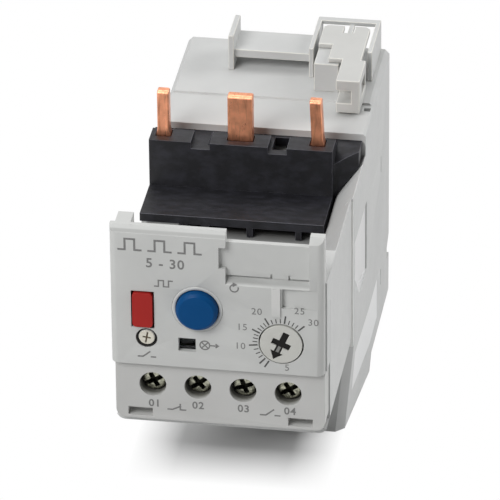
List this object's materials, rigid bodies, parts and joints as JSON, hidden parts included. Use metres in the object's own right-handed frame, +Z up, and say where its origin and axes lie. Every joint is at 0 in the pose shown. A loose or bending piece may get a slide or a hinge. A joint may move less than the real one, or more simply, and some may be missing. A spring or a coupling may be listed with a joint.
{
  "type": "motor overload relay",
  "caption": "Plug-in motor overload relay: grey two-part casing, copper contact pins on a black carrier, reset and test buttons, setting dial, control terminals and a rear latch.",
  "frame": {"origin": "under the middle of the overall box, on the plane of the lower face", "axes": "+X to the right of the front face, +Y from the front to the rear, +Z up along the contact pins"},
  "size_m": [0.045, 0.0968, 0.0728],
  "materials": {
    "light_grey": "light grey moulded thermoplastic, fine matt texture",
    "mid_grey": "slightly darker grey moulded thermoplastic",
    "latch_grey": "light grey moulded thermoplastic, smooth",
    "black": "black glass-filled thermoplastic, satin",
    "white": "white acetal, satin",
    "blue": "blue push-button plastic, satin",
    "red": "red push-button plastic, satin",
    "component_blue": "blue component case",
    "flag_amber": "amber indicator plastic",
    "board_green": "green solder resist on laminate",
    "clear": "clear window plastic",
    "copper": null,
    "contact_brass": "brass contact strip",
    "zinc_steel": "zinc-plated steel",
    "dark_steel": "dark passivated steel",
    "spring_steel": "spring steel wire",
    "core_steel": "laminated core steel"
  },
  "bodies": {
    "casing": {"front_cover": "light_grey", "terminal_strip": "mid_grey", "front_housing": "light_grey", "base_housing": "light_grey", "pin_carrier": "black", "power_conductor_left": "copper", "power_conductor_middle": "copper", "power_conductor_right": "copper", "transformer_cores": "core_steel", "transformer_windings": "copper", "load_clamps": "zinc_steel", "load_screws": "zinc_steel", "control_clamps": "zinc_steel", "control_screws": "dark_steel", "fixed_contacts": "contact_brass", "reset_spring": "spring_steel", "test_spring": "spring_steel", "trip_spring": "spring_steel", "potentiometer": "component_blue", "status_window": "clear", "inner_frame": "black", "circuit_board": "board_green", "trip_coil": "copper", "coil_yoke": "zinc_steel", "mounting_bracket": "light_grey"},
    "reset": {"reset_button": "blue"},
    "test": {"test_button": "red"},
    "plunger": {"trip_plunger": "white"},
    "dial": {"setting_dial": "light_grey", "dial_pointer": "black"},
    "slider": {"trip_slider": "white", "trip_flag": "flag_amber", "contact_bridges": "contact_brass", "magnet_plunger": "core_steel"},
    "latch": {"mounting_latch": "latch_grey"}
  },
  "joints": [
    {"name": "reset_press", "type": "slide", "parent": "casing", "child": "reset", "axis": [0, 1, 0], "range_m": [0, 0.0025], "stiffness_N_per_m": 1200, "springref_m": -0.001, "deforming": ["reset_spring"]},
    {"name": "test_press", "type": "slide", "parent": "casing", "child": "test", "axis": [0, 1, 0], "range_m": [0, 0.0014], "stiffness_N_per_m": 1200, "springref_m": -0.001, "deforming": ["test_spring"]},
    {"name": "trip_press", "type": "slide", "parent": "casing", "child": "plunger", "axis": [0, 1, 0], "range_m": [0, 0.0015], "stiffness_N_per_m": 900, "springref_m": -0.001, "deforming": ["trip_spring"]},
    {"name": "dial_turn", "type": "hinge", "parent": "casing", "child": "dial", "pos_m": [0.0129, -0.0466, 0.0436], "axis": [0, 1, 0], "range_deg": [0, 200]},
    {"name": "trip_slide", "type": "slide", "parent": "casing", "child": "slider", "axis": [1, 0, 0], "range_m": [0, 0.0032]},
    {"name": "latch_slide", "type": "slide", "parent": "casing", "child": "latch", "axis": [0, 1, 0], "range_m": [0, 0.0025], "stiffness_N_per_m": 1500, "springref_m": -0.001}
  ]
}
